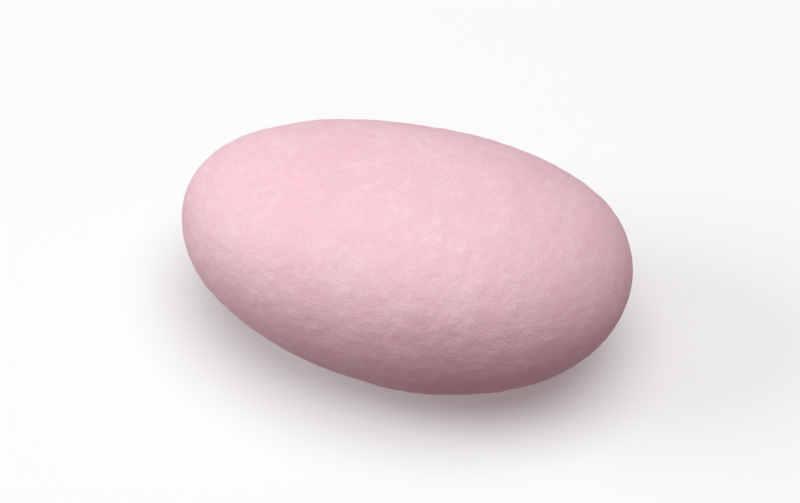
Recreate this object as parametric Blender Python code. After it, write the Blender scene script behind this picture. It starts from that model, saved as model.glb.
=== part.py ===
"""One sugared almond: a whole almond under a hard, smooth shell of pink sugar, lying as it fell.

The shell hides the nut, so the piece is one solid. Its form starts as a sphere. It is drawn out
along the nut, made fuller at the shoulders and towards one end, bowed out on one side, given the
slow swells of the coating pan, and cut by a small flat so that it lies still.

Frame: +X runs along the nut to its broad end, +Y across it to its straighter side, and +Z is up.
The origin is on the resting flat, under the middle of the bounding box.
"""

import bmesh
import bpy
from mathutils import Vector, noise

MM = 0.001

# Driving dimensions of the smooth form
LENGTH = 27.0 * MM
WIDTH = 16.6 * MM
THICKNESS = 12.2 * MM

# How the nut inside departs from a plain ellipsoid, as shares of half the width or thickness
BROAD_END = 0.074  # the girth grows by this share towards +X and shrinks by it towards -X
BLUNT_ENDS = 0.133  # both ends are fuller than an ellipse's by this share
SHOULDERS = 0.045  # the girth is fuller by this share between the broad faces and the sides
SIDE_BOW = 0.102  # the middle of the long axis stands out towards -Y by this share

# The slow unevenness of a shell built up by tumbling
SWELL_HEIGHT = 0.06 * MM
SWELL_SPAN = 6.0 * MM

# The flat spot that the almond rests on is this deep, and points that nearly lie on it are
# moved onto it, so that the cut leaves no slivers
FLAT_DEPTH = 0.12 * MM
FLAT_SNAP = 0.02 * MM
CUT_TOLERANCE = 0.0001 * MM

ROUNDS_OF_SPLITTING = 5  # an icosphere of 20 faces, split four times, has 5120
SUGAR_PINK = (0.87, 0.57, 0.625, 1.0)
SUGAR_ROUGHNESS = 0.6


def clear_scene():
    """Empties the scene that the script was started in."""
    for obj in list(bpy.data.objects):
        bpy.data.objects.remove(obj, do_unlink=True)


def almond_form(direction):
    """Where the smooth shell lies for one point of the unit sphere."""
    along, across, upward = direction
    girth = 1 + BROAD_END * along + BLUNT_ENDS * along**2
    girth *= 1 + SHOULDERS * (2 * across * upward) ** 2
    bow = SIDE_BOW * (1 - along**2)
    return Vector(
        (
            along * LENGTH / 2,
            (girth * across - bow) * WIDTH / 2,
            girth * upward * THICKNESS / 2,
        )
    )


def draw_out(bm):
    """Turns the unit sphere into the almond's smooth form."""
    for vert in bm.verts:
        vert.co = almond_form(vert.co.normalized())
    bm.normal_update()


def add_pan_swells(bm):
    """Lifts and lowers the shell a little along its normals, as layer on layer of syrup leaves it."""
    lifted = {v: v.co + v.normal * SWELL_HEIGHT * noise.noise(v.co / SWELL_SPAN) for v in bm.verts}
    for vert, place in lifted.items():
        vert.co = place


def middle_and_floor(bm):
    """The middle of the footprint's bounding box, at the height of the resting flat."""
    xs, ys, zs = zip(*(vert.co for vert in bm.verts))
    return Vector(((min(xs) + max(xs)) / 2, (min(ys) + max(ys)) / 2, min(zs) + FLAT_DEPTH))


def cut_resting_flat(bm):
    """Cuts the belly level at the origin's height and closes the cut with one flat face."""
    for vert in bm.verts:
        if abs(vert.co.z) < FLAT_SNAP:
            vert.co.z = 0
    cut = bmesh.ops.bisect_plane(
        bm,
        geom=bm.verts[:] + bm.edges[:] + bm.faces[:],
        dist=CUT_TOLERANCE,
        plane_co=(0, 0, 0),
        plane_no=(0, 0, -1),
        clear_outer=True,
    )
    rim = [piece for piece in cut["geom_cut"] if isinstance(piece, bmesh.types.BMEdge)]
    bmesh.ops.contextual_create(bm, geom=rim)


def sugar_shell_material():
    """Matt pink sugar."""
    material = bpy.data.materials.new("sugar_shell")
    material.use_nodes = True
    shader = material.node_tree.nodes["Principled BSDF"]
    shader.inputs["Base Color"].default_value = SUGAR_PINK
    shader.inputs["Roughness"].default_value = SUGAR_ROUGHNESS
    shader.inputs["Metallic"].default_value = 0.0
    material.diffuse_color = SUGAR_PINK
    return material


def make_almond():
    """Builds the one solid and links it to the scene."""
    bm = bmesh.new()
    bmesh.ops.create_icosphere(bm, subdivisions=ROUNDS_OF_SPLITTING, radius=1.0)
    draw_out(bm)
    add_pan_swells(bm)
    bmesh.ops.translate(bm, verts=bm.verts, vec=-middle_and_floor(bm))
    cut_resting_flat(bm)
    bmesh.ops.recalc_face_normals(bm, faces=bm.faces)

    mesh = bpy.data.meshes.new("sugared_almond")
    bm.to_mesh(mesh)
    bm.free()
    mesh.shade_smooth()
    mesh.materials.append(sugar_shell_material())
    almond = bpy.data.objects.new("sugared_almond", mesh)
    bpy.context.scene.collection.objects.link(almond)
    return almond


clear_scene()
make_almond()
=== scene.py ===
# %% [markdown]
# # A sugared almond
# A sugared almond is a whole nut that rolls in a warm pan while syrup is ladled over it. Each coat
# dries to a thin hard layer, and after many coats the nut lies hidden under a smooth, matt shell
# of coloured sugar.
#
# The almond's solid comes ready made, and it gives the place and the size of everything here. The
# steps below build a finer shell over it, then the sugar itself, the light and the camera.

# %% Load the solid
import math

import bpy
import numpy as np
from mathutils import Matrix, Vector, noise


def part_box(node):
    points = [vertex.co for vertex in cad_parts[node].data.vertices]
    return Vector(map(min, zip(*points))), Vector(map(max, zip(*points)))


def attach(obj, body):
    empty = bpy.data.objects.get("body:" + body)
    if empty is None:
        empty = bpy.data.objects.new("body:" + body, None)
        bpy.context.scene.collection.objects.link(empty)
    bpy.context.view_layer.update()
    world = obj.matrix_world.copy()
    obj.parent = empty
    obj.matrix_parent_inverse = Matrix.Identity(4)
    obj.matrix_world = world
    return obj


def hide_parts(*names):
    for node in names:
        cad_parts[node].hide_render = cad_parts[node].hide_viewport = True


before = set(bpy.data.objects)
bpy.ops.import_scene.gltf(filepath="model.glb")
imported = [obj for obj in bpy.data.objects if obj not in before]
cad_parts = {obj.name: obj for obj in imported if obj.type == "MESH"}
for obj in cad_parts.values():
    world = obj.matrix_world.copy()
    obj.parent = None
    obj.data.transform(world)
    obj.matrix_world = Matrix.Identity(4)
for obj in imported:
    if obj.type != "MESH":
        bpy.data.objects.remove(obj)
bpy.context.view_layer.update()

MM = 0.001
lowest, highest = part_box("sugared_almond")
size_of_solid = highest - lowest
print("The solid measures, in mm:", [round(side / MM, 2) for side in size_of_solid])

# %% [markdown]
# ## A ball of small squares
# Every part of a sugared shell is equally fine, so its mesh needs equally small faces everywhere.
# Blender's UV sphere crowds its faces at two poles, where a relief would pinch. This ball starts as
# a cube instead. A Subdivision Surface modifier on Simple splits its sides into squares without
# rounding them. Each point is then moved onto a sphere, by equal angles rather than equal steps,
# which keeps the squares near the cube's corners from shrinking.

# %% Split a cube and round it
ROUNDS_OF_SPLITTING = 7  # each round cuts a square in four, so a side ends with 128 by 128


def split_cube(rounds):
    """A mesh of a two-unit cube whose sides are cut into equal squares."""
    bpy.ops.mesh.primitive_cube_add(size=2)
    cube = bpy.context.object
    splitting = cube.modifiers.new("splitting", "SUBSURF")
    splitting.subdivision_type = "SIMPLE"
    splitting.levels = splitting.render_levels = rounds
    graph = bpy.context.evaluated_depsgraph_get()
    mesh = bpy.data.meshes.new_from_object(cube.evaluated_get(graph))
    bpy.data.objects.remove(cube, do_unlink=True)
    return mesh


def points_of(mesh):
    """The mesh's points as rows of x, y and z."""
    flat = np.empty(len(mesh.vertices) * 3)
    mesh.vertices.foreach_get("co", flat)
    return flat.reshape(-1, 3)


def move_points(mesh, places):
    """Puts the mesh's points at new places and brings its normals up to date."""
    mesh.vertices.foreach_set("co", places.ravel())
    mesh.update()


shell_mesh = split_cube(ROUNDS_OF_SPLITTING)
on_cube = np.tan(points_of(shell_mesh) * math.pi / 4)
directions = on_cube / np.linalg.norm(on_cube, axis=1, keepdims=True)
print("The ball has", len(directions), "points and", len(shell_mesh.polygons), "squares")

# %% [markdown]
# ## The almond's form
# The nut inside decides the form: longer than wide, wider than thick, full at the shoulders and
# towards one end, and bowed out along one side, which no scaled ball shows. The form could be
# sculpted, but a formula on the ball's directions keeps it smooth and can be read and changed. The
# solid was made by the same formula, so the shell will lie just where the solid does.

# %% Shape the ball into an almond
BROAD_END = 0.074  # the girth grows by this share towards +X and shrinks by it towards -X
BLUNT_ENDS = 0.133  # both ends are fuller than an ellipse's by this share
SHOULDERS = 0.045  # the girth is fuller by this share between the broad faces and the sides
SIDE_BOW = 0.102  # the middle of the long axis stands out towards -Y by this share
NUT_LENGTH, NUT_WIDTH, NUT_THICKNESS = 27.0 * MM, 16.6 * MM, 12.2 * MM


def almond_form(ball):
    """Where the smooth shell lies for each direction from the middle."""
    along, across, upward = ball.T
    girth = 1 + BROAD_END * along + BLUNT_ENDS * along**2
    girth *= 1 + SHOULDERS * (2 * across * upward) ** 2
    bow = SIDE_BOW * (1 - along**2)
    return np.column_stack(
        (
            along * NUT_LENGTH / 2,
            (girth * across - bow) * NUT_WIDTH / 2,
            girth * upward * NUT_THICKNESS / 2,
        )
    )


move_points(shell_mesh, almond_form(directions))
print("The smooth form measures, in mm:", np.ptp(points_of(shell_mesh), axis=0) / MM)

# %% [markdown]
# ## Swells from the pan
# The shell grows unevenly as the nuts tumble, so its surface swells and sinks very slightly over
# several millimetres. Noise that is read at each point and added along the normal does this. It is
# read before the form is moved to its place, with the solid's own height and span, so that the
# swells fall where the solid's do. Then the form is lowered onto the floor. It reaches a little
# lower than the solid's box, because the solid rests on a shallow flat.

# %% Add the slow swells
SWELL_HEIGHT, SWELL_SPAN = 0.06 * MM, 6.0 * MM
FLAT_DEPTH = 0.12 * MM


def normals_of(mesh):
    """The mesh's point normals as rows of x, y and z."""
    flat = np.empty(len(mesh.vertices) * 3)
    mesh.vertex_normals.foreach_get("vector", flat)
    return flat.reshape(-1, 3)


def noise_at(places, span):
    """Smooth noise between about -1 and 1 that changes over the given span."""
    return np.array([noise.noise(Vector(place)) for place in places / span])


def lift(mesh, heights):
    """Moves each point out along its normal by its own height."""
    move_points(mesh, points_of(mesh) + normals_of(mesh) * heights[:, None])


lift(shell_mesh, SWELL_HEIGHT * noise_at(points_of(shell_mesh), SWELL_SPAN))


def to_solid(places):
    """Moves the full form so that its middle is over the solid's and its flat is at z = 0."""
    low, high = places.min(axis=0), places.max(axis=0)
    return places - (*((low + high) / 2)[:2], low[2] + FLAT_DEPTH)


move_points(shell_mesh, to_solid(points_of(shell_mesh)))
top = points_of(shell_mesh)[:, 2].max()
print("The top is", round((top - highest.z) / MM, 4), "mm above the solid's")

# %% [markdown]
# ## Waves, dimples, cobbles and grain
# Close to, the sugar isn't as smooth as porcelain. Low waves run over the swells, and shallow
# dimples are left where nuts knocked together. Between them the last coats dried in fine cobbles,
# and these in a grain of under half a millimetre. All are only hundredths of a millimetre high, but
# light that grazes the shell shows them, so they are real relief in the mesh and not only in the
# material. Each is a layer of noise with a height and a span of its own. A layer can also be read
# from another stretch of the noise, which moves its hills and hollows about. Many shifts were tried
# for the waves and the dimples, and these two let the shade run most like that on the real shell.

# %% Add the fine relief
RELIEF = {  # how high, how wide, and by how much the noise is shifted in x, y and z
    "waves": (0.062 * MM, 3.8 * MM, (57 * MM, 22 * MM, 75 * MM)),
    "dimples": (0.026 * MM, 2.2 * MM, (4 * MM, 22 * MM, 67 * MM)),
    "cobbles": (0.021 * MM, 0.9 * MM, (0, 0, 0)),
    "grain": (0.015 * MM, 0.4 * MM, (0, 0, 0)),
}
smooth_places = points_of(shell_mesh)
relief = sum(
    height * noise_at(smooth_places + shift, span) for height, span, shift in RELIEF.values()
)
print("The relief spans, in mm:", round(np.ptp(relief) / MM, 4))

# %% [markdown]
# ## Stuck grains and pinholes
# Here and there a grain of sugar stuck to the last coat and stands out as a tiny pale bump, and a
# few bubbles broke through and left pinholes. Both are small round spots with soft edges, which a
# fixed seed scatters, so that they fall in the same places each time. How far each point lies
# inside a grain is also stored on the mesh, because the material paints the grains paler.

# %% Scatter the grains and the pinholes
GRAINS, GRAIN_RADIUS, GRAIN_HEIGHT = 150, (0.15 * MM, 0.27 * MM), 0.022 * MM
PINHOLES, PINHOLE_RADIUS, PINHOLE_DEPTH = 25, (0.14 * MM, 0.22 * MM), 0.020 * MM
random = np.random.default_rng(7)


def scatter(count, radii):
    """Soft round spots on the shell: 1 in the middle of a spot and 0 well outside it."""
    spots = np.zeros(len(smooth_places))
    for centre in random.choice(smooth_places, count, replace=False):
        distance = np.linalg.norm(smooth_places - centre, axis=1) / random.uniform(*radii)
        spots = np.maximum(spots, np.exp(-(distance**2)))
    return spots


grains = scatter(GRAINS, GRAIN_RADIUS)
relief += GRAIN_HEIGHT * grains - PINHOLE_DEPTH * scatter(PINHOLES, PINHOLE_RADIUS)
lift(shell_mesh, relief)
shell_mesh.attributes.new("stuck_grain", "FLOAT", "POINT").data.foreach_set("value", grains)
print("With them the relief spans, in mm:", round(np.ptp(relief) / MM, 4))

# %% [markdown]
# ## The rubbed spot underneath
# The almond lies on its broad side. The solid has a small flat there so that it keeps still. On the
# shell this flat is made by lifting whatever lies lower than z = 0 up to that height. A hard limit
# would leave a crease, so the limit is a soft one that rounds the rim over a few hundredths of a
# millimetre.

# %% Flatten the belly
RIM_ROUNDING = 0.03 * MM


def flatten_belly(places):
    """Lifts what lies under z = 0 to a level spot with a rounded rim."""
    flat = places.copy()
    depth = places[:, 2]
    flat[:, 2] = (depth + np.sqrt(depth**2 + RIM_ROUNDING**2)) / 2
    return flat


move_points(shell_mesh, flatten_belly(points_of(shell_mesh)))
shell_mesh.shade_smooth()
sugar_shell = bpy.data.objects.new("sugar_shell", shell_mesh)
bpy.context.scene.collection.objects.link(sugar_shell)
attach(sugar_shell, "root")
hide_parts("sugared_almond")
print("The shell has", len(shell_mesh.polygons), "faces")

# %% [markdown]
# ## Writing shader maths
# A material in Blender is a net of nodes, and a long formula in nodes is hard to read. The class
# below wraps one socket and lets Python's own signs add the Math nodes, so that a mask can be
# written as 1 - mask. Every other node is added by one method, which first makes the node's
# settings and then fills or links its sockets.

# %% A socket that can be reckoned with


class Wire:
    """A socket of a node tree, or the tree alone while it has no socket yet."""

    def __init__(self, tree, socket=None):
        self.tree = tree
        self.socket = socket

    def node(self, kind, settings, sockets, output=0):
        """Adds a node, makes its settings, fills or links its sockets and returns one output."""
        added = self.tree.nodes.new(kind)
        for name, value in settings.items():
            setattr(added, name, value)
        for name, value in sockets.items():
            if isinstance(value, Wire):
                self.tree.links.new(value.socket, added.inputs[name])
            else:
                added.inputs[name].default_value = value
        return Wire(self.tree, added.outputs[output])

    def math(self, operation, first, second):
        """Adds a Math node on two values and returns its result."""
        return self.node("ShaderNodeMath", {"operation": operation}, {0: first, 1: second})

    def __add__(self, other):
        return self.math("ADD", self, other)

    def __sub__(self, other):
        return self.math("SUBTRACT", self, other)

    def __rsub__(self, other):
        return self.math("SUBTRACT", other, self)

    def __mul__(self, other):
        return self.math("MULTIPLY", self, other)

    __radd__ = __add__
    __rmul__ = __mul__


print("The signs + - * now add Math nodes")

# %% [markdown]
# ## The sugar
# Panned sugar is an opaque, chalky mass of crystals, pink all through and without a polish. Three
# things keep it from looking like plastic: the tint changes slightly from coat to coat, rubbed-off
# powder lies on it as a pale bloom, and its crystals are just too small to see one by one. The
# patterns could be painted on an image, but that would have seams and a fixed sharpness. Here they
# are read in millimetres from the object's own coordinates, so they need no unwrapping.

# %% Start the material
material = bpy.data.materials.new("matt_pink_sugar")
material.use_nodes = True
tree = material.node_tree
sugar = tree.nodes["Principled BSDF"]
start = Wire(tree)
here = start.node("ShaderNodeTexCoord", {}, {}, output="Object")
in_mm = here.node("ShaderNodeVectorMath", {"operation": "SCALE"}, {0: here, "Scale": 1 / MM})
print(material.name, "starts with", len(tree.nodes), "nodes")

# %% [markdown]
# ### Clouds, ramps and blends
# Three kinds of node do nearly all the painting. A Noise Texture gives soft clouds of any size. A
# Map Range keeps only the part of them that should show, with soft edges. A Mix node then lays one
# colour over another by such a mask. Each gets a short helper here. The Mix node has its sockets
# for every type of value in one row, so those for colour are numbers 6 and 7, and the colour comes
# out of number 2.

# %% Name the three kinds of node


def cloud(span_mm, detail=2.0):
    """Soft noise between 0 and 1 whose features are about the given span wide."""
    sockets = {"Vector": in_mm, "Scale": 1 / span_mm, "Detail": detail}
    return start.node("ShaderNodeTexNoise", {}, sockets)


def ramp(value, low, high):
    """Goes smoothly from 0 to 1 as the value passes from low to high."""
    sockets = {"Value": value, "From Min": low, "From Max": high}
    return start.node("ShaderNodeMapRange", {"interpolation_type": "SMOOTHSTEP"}, sockets)


def blend_colours(mask, where_0, where_1):
    """One colour where the mask is 0, and the other where it is 1."""
    sockets = {0: mask, 6: where_0, 7: where_1}
    return mask.node("ShaderNodeMix", {"data_type": "RGBA"}, sockets, output=2)


print("The helpers are", ", ".join(helper.__name__ for helper in (cloud, ramp, blend_colours)))

# %% [markdown]
# ### Tint and bloom
# The coats differ a little in how much colour they took up, which shows as clouds several
# millimetres wide. Over them lies the bloom, in three sizes: faint mottles under a millimetre wide
# that gather in patches, a dust of fine powder all over, and the grains that stuck on, which took
# little colour. Their shares are added up into one mask. All stay close to the main pink, because
# stronger ones would look like dirt.

# %% Colour the sugar
PINK = (0.875, 0.557, 0.613, 1.0)
DEEP_PINK = (0.863, 0.534, 0.590, 1.0)
BLOOM = (0.930, 0.720, 0.757, 1.0)
SHARE_OF_MOTTLES, SHARE_OF_POWDER, SHARE_OF_GRAINS = 0.40, 0.22, 0.18
PATTERNS = {  # the span in mm, the detail, and from which cloud value to which it fades in
    "tint": (7.0, 2.0, 0.35, 0.65),
    "mottles": (0.7, 4.0, 0.35, 0.75),
    "patches": (2.4, 2.0, 0.30, 0.70),
    "powder": (0.25, 2.0, 0.30, 0.70),
}
tint, mottles, patches, powder = (
    ramp(cloud(span, detail), low, high) for span, detail, low, high in PATTERNS.values()
)
stuck = start.node("ShaderNodeAttribute", {"attribute_name": "stuck_grain"}, {}, output="Fac")
bloom = mottles * patches * SHARE_OF_MOTTLES
bloom = bloom + powder * SHARE_OF_POWDER + stuck * SHARE_OF_GRAINS
colour = blend_colours(bloom, blend_colours(tint, PINK, DEEP_PINK), BLOOM)
tree.links.new(colour.socket, sugar.inputs["Base Color"])
print("The material has", len(tree.nodes), "nodes so far")

# %% [markdown]
# ### Roughness and crystals
# Rough sugar scatters light almost evenly, and it is a shade less rough where handling has rubbed
# it. The crystals are a tenth of a millimetre wide, finer than the mesh can hold, so they are a
# Bump node. Light also sinks a little way into sugar, which softens the edge between light and
# shade and warms it. That is the same all over the shell, so it is set on the shader itself.

# %% Roughen the sugar
ROUGHNESS, ROUGHNESS_CHANGE, RUBBED_SPAN = 0.62, 0.10, 3.0
MIDDLE_OF_A_CLOUD = 0.5
CRYSTAL_SPAN, CRYSTAL_DETAIL, CRYSTAL_DEPTH = 0.14, 3.0, 0.03 * MM
SUBSURFACE, SUBSURFACE_REACH = 0.15, 1.0 * MM
REACH_OF_RED_GREEN_BLUE = (1.0, 0.5, 0.45)

rubbed = cloud(RUBBED_SPAN)
roughness = ROUGHNESS - ROUGHNESS_CHANGE * (rubbed - MIDDLE_OF_A_CLOUD)
tree.links.new(roughness.socket, sugar.inputs["Roughness"])
height = cloud(CRYSTAL_SPAN, CRYSTAL_DETAIL)
crystals = start.node("ShaderNodeBump", {}, {"Distance": CRYSTAL_DEPTH, "Height": height})
tree.links.new(crystals.socket, sugar.inputs["Normal"])
sugar.inputs["Metallic"].default_value = 0.0
sugar.inputs["Subsurface Weight"].default_value = SUBSURFACE
sugar.inputs["Subsurface Radius"].default_value = REACH_OF_RED_GREEN_BLUE
sugar.inputs["Subsurface Scale"].default_value = SUBSURFACE_REACH
shell_mesh.materials.append(material)
print("The material has", len(tree.nodes), "nodes")

# %% [markdown]
# ## The floor
# The almond stands on nothing but a plain pale floor, wide enough to fill the view from any side.
# An ordinary white floor would throw its light back up and wash out the almond's shaded underside.
# Blender can leave the floor out of the light that reaches other surfaces, while it still shows and
# still takes the almond's shadow. A little of its white is a glow of its own, as on a light table,
# so the shadow stays soft and pale.

# %% Lay the floor
FLOOR_SIZE = 4.0
FLOOR_WHITE = (0.76, 0.76, 0.76, 1.0)
GLOW_COLOUR, FLOOR_GLOW = (1.0, 1.0, 1.0, 1.0), 0.18

bpy.ops.mesh.primitive_plane_add(size=FLOOR_SIZE)
floor = bpy.context.object
floor.name = "floor"
floor_paint = bpy.data.materials.new("floor_paint")
floor_paint.use_nodes = True
matt = floor_paint.node_tree.nodes["Principled BSDF"]
matt.inputs["Base Color"].default_value = FLOOR_WHITE
matt.inputs["Roughness"].default_value = 1.0
matt.inputs["Specular IOR Level"].default_value = 0.0
matt.inputs["Emission Color"].default_value = GLOW_COLOUR
matt.inputs["Emission Strength"].default_value = FLOOR_GLOW
floor.data.materials.append(floor_paint)
floor.visible_diffuse = False
floor.visible_shadow = False
print("The floor is", FLOOR_SIZE, "m wide")

# %% [markdown]
# ## The camera
# The picture looks down on the almond by 46 degrees, and a little from its broad end. The camera
# stands close, as it does for small things, so the near side looms a little. The lens is then
# chosen so that the almond fills a good half of the picture's width.

# %% Place the camera
AZIMUTH, ELEVATION = math.radians(17.4), math.radians(46.0)
DISTANCE, NEAREST_SEEN = 0.125, 0.01
SENSOR_WIDTH = 36.0  # in mm, like the lens
SHARE_OF_WIDTH = 0.58

aim = Vector((0, 0, (lowest.z + highest.z) / 2))
towards_camera = Vector(
    (
        math.sin(AZIMUTH) * math.cos(ELEVATION),
        -math.cos(AZIMUTH) * math.cos(ELEVATION),
        math.sin(ELEVATION),
    )
)
camera_data = bpy.data.cameras.new("camera")
camera_data.sensor_width = SENSOR_WIDTH
camera_data.lens = SENSOR_WIDTH * SHARE_OF_WIDTH * DISTANCE / size_of_solid.x
camera_data.clip_start = NEAREST_SEEN
camera = bpy.data.objects.new("camera", camera_data)
camera.location = aim + towards_camera * DISTANCE
camera.rotation_euler = towards_camera.to_track_quat("Z", "Y").to_euler()
bpy.context.scene.collection.objects.link(camera)
bpy.context.scene.camera = camera
print("The lens is", round(camera_data.lens, 1), "mm")

# %% [markdown]
# ## The light
# Two soft boxes and an even fill make this light. The large box hangs almost straight overhead, so
# the top of the almond is light all over and the shade gathers low on its sides. The other stands
# to the left and adds some modelling along the shell. It is dimmer, but still wide, so that its
# shadow has no edge. Blender gives an area light in watts, so the helper works the watts out from
# how bright the light makes a white card that faces it.

# %% Hang the soft boxes
BOX_DISTANCE = 0.6


def hang_soft_box(name, seen_from_camera, half_angle, on_white_card):
    """Hangs a round soft box that shines at the almond from a direction: right, away and up."""
    direction = Matrix.Rotation(AZIMUTH, 3, "Z") @ Vector(seen_from_camera).normalized()
    radius = BOX_DISTANCE * math.tan(math.radians(half_angle))
    strongest = max(on_white_card)
    light = bpy.data.lights.new(name, "AREA")
    light.shape = "DISK"
    light.size = 2 * radius
    light.color = [part / strongest for part in on_white_card]
    light.energy = strongest * math.pi**2 * (BOX_DISTANCE**2 + radius**2)
    lamp = bpy.data.objects.new(name, light)
    lamp.location = aim + direction * BOX_DISTANCE
    lamp.rotation_euler = direction.to_track_quat("Z", "Y").to_euler()
    bpy.context.scene.collection.objects.link(lamp)
    print(name, "gives", round(light.energy, 2), "W")


hang_soft_box(
    "overhead_box",
    seen_from_camera=(0.06, -0.04, 1.0),
    half_angle=29.6,
    on_white_card=(0.680, 0.718, 0.715),
)
hang_soft_box(
    "left_box",
    seen_from_camera=(-0.89, 0.01, 0.45),
    half_angle=17.0,
    on_white_card=(0.397, 0.432, 0.427),
)

# %% [markdown]
# ## The room
# The rest of the light comes evenly from all round, as from pale walls. It is dim and a little warm,
# so that the almond's sides end in a deep dull pink and not in black. The same sky would make a grey
# background, so the Light Path node swaps in a plain near-white wherever the camera looks past the
# floor. The Standard view transform keeps the colours as they were mixed.

# %% Fill the room with even light
FILL = (0.191, 0.125, 0.136, 1.0)
BACKDROP = (0.93, 0.93, 0.93, 1.0)

world = bpy.data.worlds.new("room")
world.use_nodes = True
bpy.context.scene.world = world
room = Wire(world.node_tree)
to_camera = room.node("ShaderNodeLightPath", {}, {}, output="Is Camera Ray")
sky = blend_colours(to_camera, FILL, BACKDROP)
world.node_tree.links.new(sky.socket, world.node_tree.nodes["Background"].inputs["Color"])
bpy.context.scene.view_settings.view_transform = "Standard"
print("The fill is", FILL[:3], "and the backdrop", BACKDROP[:3])
